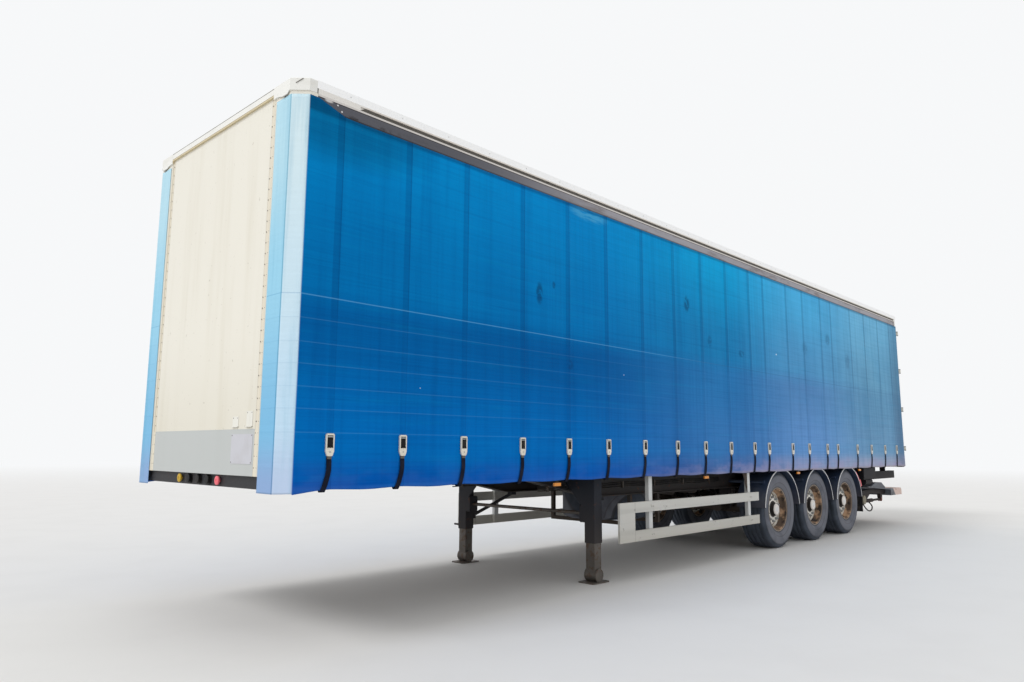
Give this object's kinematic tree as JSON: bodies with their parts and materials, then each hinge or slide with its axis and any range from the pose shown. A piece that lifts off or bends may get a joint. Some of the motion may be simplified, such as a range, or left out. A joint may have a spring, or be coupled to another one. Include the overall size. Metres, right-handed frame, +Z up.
{
  "type": "curtain-side semi-trailer",
  "caption": "Curtain-side semi-trailer on landing legs, with axles on air springs, side guards, rear doors and a stowed sliding tail lift.",
  "frame": {"origin": "centre of the bounding box's foot, on the ground", "axes": "+X forward towards the kingpin end, +Y to the left, +Z up"},
  "size_m": [13.686, 2.61, 4.076],
  "materials": {
    "chassis_paint": "worn matt black paint with dust",
    "bare_steel": "bare greasy steel",
    "plywood": "phenolic film-faced plywood",
    "white_paint": "aged white paint",
    "anodised": "dull anodised aluminium",
    "roof_sheet": "coated translucent roof sheet",
    "galvanised": "galvanised steel",
    "black_rubber": "matt black rubber",
    "curtain_blue": "coated tarpaulin, semi-gloss",
    "cream_metal": "worn cream enamel",
    "navy_web": "woven polyester webbing",
    "black_plastic": "moulded polyethylene",
    "tyre_rubber": "dusty tyre rubber",
    "wheel_steel": "silver paint with rust and dirt",
    "amber_lens": "moulded amber lens",
    "red_lens": "moulded red lens",
    "bare_alloy": "scuffed aluminium"
  },
  "bodies": {
    "trailer": {"main_beams": "chassis_paint", "cross_members": "chassis_paint", "coupler_plate": "bare_steel", "kingpin": "bare_steel", "cargo_floor": "plywood", "side_rails": "chassis_paint", "front_bulkhead": "white_paint", "front_posts": "white_paint", "front_header": "white_paint", "cant_rails": "anodised", "roof_skin": "roof_sheet", "roof_bows": "galvanised", "rear_frame": "white_paint", "door_hinges": "galvanised", "rear_buffers": "black_rubber", "curtain_left": "curtain_blue", "curtain_right": "curtain_blue", "curtain_buckles": "cream_metal", "curtain_straps": "navy_web", "side_pillars": "galvanised", "axles": "chassis_paint", "spring_hangers": "chassis_paint", "trailing_arms": "chassis_paint", "air_springs": "black_rubber", "shock_absorbers": "chassis_paint", "mudguards": "black_plastic", "mud_flaps": "black_rubber", "landing_legs": "chassis_paint", "landing_feet": "bare_steel", "landing_shaft": "bare_steel", "side_guards": "anodised", "spare_wheel": "tyre_rubber", "spare_carrier": "chassis_paint", "air_tanks": "chassis_paint", "side_lamps": "amber_lens", "rear_lamps": "red_lens", "lift_rails": "chassis_paint", "lift_power_pack": "chassis_paint"},
    "door_left_leaf": {"door_left": "white_paint", "door_locks_left": "galvanised"},
    "door_right_leaf": {"door_right": "white_paint", "door_locks_right": "galvanised"},
    "tail_lift": {"lift_carriage": "chassis_paint", "lift_arms": "chassis_paint", "lift_platform": "bare_alloy", "lift_tip": "bare_alloy"},
    "wheel_unit_1_left": {"tyre_1_left": "tyre_rubber", "wheel_1_left": "wheel_steel"},
    "wheel_unit_1_right": {"tyre_1_right": "tyre_rubber", "wheel_1_right": "wheel_steel"},
    "wheel_unit_2_left": {"tyre_2_left": "tyre_rubber", "wheel_2_left": "wheel_steel"},
    "wheel_unit_2_right": {"tyre_2_right": "tyre_rubber", "wheel_2_right": "wheel_steel"},
    "wheel_unit_3_left": {"tyre_3_left": "tyre_rubber", "wheel_3_left": "wheel_steel"},
    "wheel_unit_3_right": {"tyre_3_right": "tyre_rubber", "wheel_3_right": "wheel_steel"}
  },
  "joints": [
    {"name": "door_left_hinge", "type": "hinge", "parent": "trailer", "child": "door_left_leaf", "pos_m": [-6.823, 1.261, 2.6], "axis": [0, 0, -1], "range_deg": [0, 270]},
    {"name": "door_right_hinge", "type": "hinge", "parent": "trailer", "child": "door_right_leaf", "pos_m": [-6.823, -1.261, 2.6], "axis": [0, 0, 1], "range_deg": [0, 270]},
    {"name": "tail_lift_slide", "type": "slide", "parent": "trailer", "child": "tail_lift", "axis": [-1, 0, 0], "range_m": [0, 1.2]},
    {"name": "wheel_spin_1_left", "type": "hinge", "parent": "trailer", "child": "wheel_unit_1_left", "pos_m": [-1.068, 1.0075, 0.535], "axis": [0, 1, 0], "continuous": true},
    {"name": "wheel_spin_1_right", "type": "hinge", "parent": "trailer", "child": "wheel_unit_1_right", "pos_m": [-1.068, -1.0075, 0.535], "axis": [0, 1, 0], "continuous": true},
    {"name": "wheel_spin_2_left", "type": "hinge", "parent": "trailer", "child": "wheel_unit_2_left", "pos_m": [-2.378, 1.0075, 0.535], "axis": [0, 1, 0], "continuous": true},
    {"name": "wheel_spin_2_right", "type": "hinge", "parent": "trailer", "child": "wheel_unit_2_right", "pos_m": [-2.378, -1.0075, 0.535], "axis": [0, 1, 0], "continuous": true},
    {"name": "wheel_spin_3_left", "type": "hinge", "parent": "trailer", "child": "wheel_unit_3_left", "pos_m": [-3.688, 1.0075, 0.535], "axis": [0, 1, 0], "continuous": true},
    {"name": "wheel_spin_3_right", "type": "hinge", "parent": "trailer", "child": "wheel_unit_3_right", "pos_m": [-3.688, -1.0075, 0.535], "axis": [0, 1, 0], "continuous": true}
  ]
}
